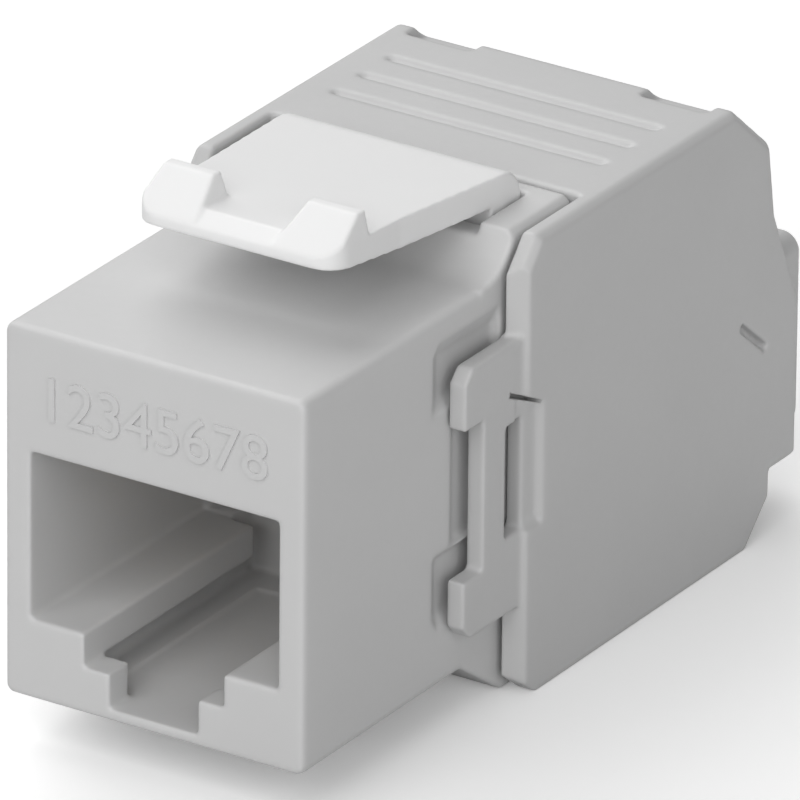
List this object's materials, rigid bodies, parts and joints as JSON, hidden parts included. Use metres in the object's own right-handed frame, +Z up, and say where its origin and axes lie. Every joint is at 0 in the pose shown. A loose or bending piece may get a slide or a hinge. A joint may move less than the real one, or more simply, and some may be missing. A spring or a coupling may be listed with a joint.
{
  "type": "keystone jack",
  "caption": "Snap-in jack for a panel opening: plug port in front, latch on top, insulation-displacement terminals under a pull-off rear cover with a round cable outlet.",
  "frame": {"origin": "under the middle of the overall box, on the surface that the jack stands on", "axes": "+Y from the plug port towards the cable outlet, +Z up towards the latch, +X across the jack"},
  "size_m": [0.0168, 0.0386, 0.0235],
  "materials": {
    "housing_plastic": "fine moulded satin",
    "cover_plastic": "fine moulded satin",
    "latch_plastic": "moulded satin",
    "carrier_plastic": "moulded satin",
    "board_laminate": "solder mask",
    "terminal_plastic": "moulded satin",
    "contact_gold": "gold flash",
    "terminal_metal": "tin plated"
  },
  "bodies": {
    "housing": {"front_housing": "housing_plastic", "contact_carrier": "carrier_plastic", "circuit_board": "board_laminate", "idc_block": "terminal_plastic", "idc_contact_1": "terminal_metal", "idc_contact_2": "terminal_metal", "idc_contact_3": "terminal_metal", "idc_contact_4": "terminal_metal", "idc_contact_5": "terminal_metal", "idc_contact_6": "terminal_metal", "idc_contact_7": "terminal_metal", "idc_contact_8": "terminal_metal"},
    "latch": {"keystone_latch": "latch_plastic"},
    "cover": {"rear_cover": "cover_plastic", "wire_manager": "cover_plastic"},
    "spring_contact_1_wire": {"spring_contact_1": "contact_gold"},
    "spring_contact_2_wire": {"spring_contact_2": "contact_gold"},
    "spring_contact_3_wire": {"spring_contact_3": "contact_gold"},
    "spring_contact_4_wire": {"spring_contact_4": "contact_gold"},
    "spring_contact_5_wire": {"spring_contact_5": "contact_gold"},
    "spring_contact_6_wire": {"spring_contact_6": "contact_gold"},
    "spring_contact_7_wire": {"spring_contact_7": "contact_gold"},
    "spring_contact_8_wire": {"spring_contact_8": "contact_gold"}
  },
  "joints": [
    {"name": "latch_press", "type": "hinge", "parent": "housing", "child": "latch", "pos_m": [0, -0.0016, 0.0194], "axis": [1, 0, 0], "range_deg": [0, 12], "stiffness_Nm_per_rad": 0.3},
    {"name": "cover_pull", "type": "slide", "parent": "housing", "child": "cover", "axis": [0, 1, 0], "range_m": [0, 0.025]},
    {"name": "contact_1_flex", "type": "hinge", "parent": "housing", "child": "spring_contact_1_wire", "pos_m": [-0.00357, -0.0035, 0.01225], "axis": [-1, 0, 0], "range_deg": [0, 6], "stiffness_Nm_per_rad": 0.05},
    {"name": "contact_2_flex", "type": "hinge", "parent": "housing", "child": "spring_contact_2_wire", "pos_m": [-0.00255, -0.0035, 0.01225], "axis": [-1, 0, 0], "range_deg": [0, 6], "stiffness_Nm_per_rad": 0.05},
    {"name": "contact_3_flex", "type": "hinge", "parent": "housing", "child": "spring_contact_3_wire", "pos_m": [-0.00153, -0.0035, 0.01225], "axis": [-1, 0, 0], "range_deg": [0, 6], "stiffness_Nm_per_rad": 0.05},
    {"name": "contact_4_flex", "type": "hinge", "parent": "housing", "child": "spring_contact_4_wire", "pos_m": [-0.00051, -0.0035, 0.01225], "axis": [-1, 0, 0], "range_deg": [0, 6], "stiffness_Nm_per_rad": 0.05},
    {"name": "contact_5_flex", "type": "hinge", "parent": "housing", "child": "spring_contact_5_wire", "pos_m": [0.00051, -0.0035, 0.01225], "axis": [-1, 0, 0], "range_deg": [0, 6], "stiffness_Nm_per_rad": 0.05},
    {"name": "contact_6_flex", "type": "hinge", "parent": "housing", "child": "spring_contact_6_wire", "pos_m": [0.00153, -0.0035, 0.01225], "axis": [-1, 0, 0], "range_deg": [0, 6], "stiffness_Nm_per_rad": 0.05},
    {"name": "contact_7_flex", "type": "hinge", "parent": "housing", "child": "spring_contact_7_wire", "pos_m": [0.00255, -0.0035, 0.01225], "axis": [-1, 0, 0], "range_deg": [0, 6], "stiffness_Nm_per_rad": 0.05},
    {"name": "contact_8_flex", "type": "hinge", "parent": "housing", "child": "spring_contact_8_wire", "pos_m": [0.00357, -0.0035, 0.01225], "axis": [-1, 0, 0], "range_deg": [0, 6], "stiffness_Nm_per_rad": 0.05}
  ],
  "couplings": [
    {"joint": "contact_2_flex", "follows": "contact_1_flex", "ratio": 1},
    {"joint": "contact_3_flex", "follows": "contact_1_flex", "ratio": 1},
    {"joint": "contact_4_flex", "follows": "contact_1_flex", "ratio": 1},
    {"joint": "contact_5_flex", "follows": "contact_1_flex", "ratio": 1},
    {"joint": "contact_6_flex", "follows": "contact_1_flex", "ratio": 1},
    {"joint": "contact_7_flex", "follows": "contact_1_flex", "ratio": 1},
    {"joint": "contact_8_flex", "follows": "contact_1_flex", "ratio": 1}
  ]
}
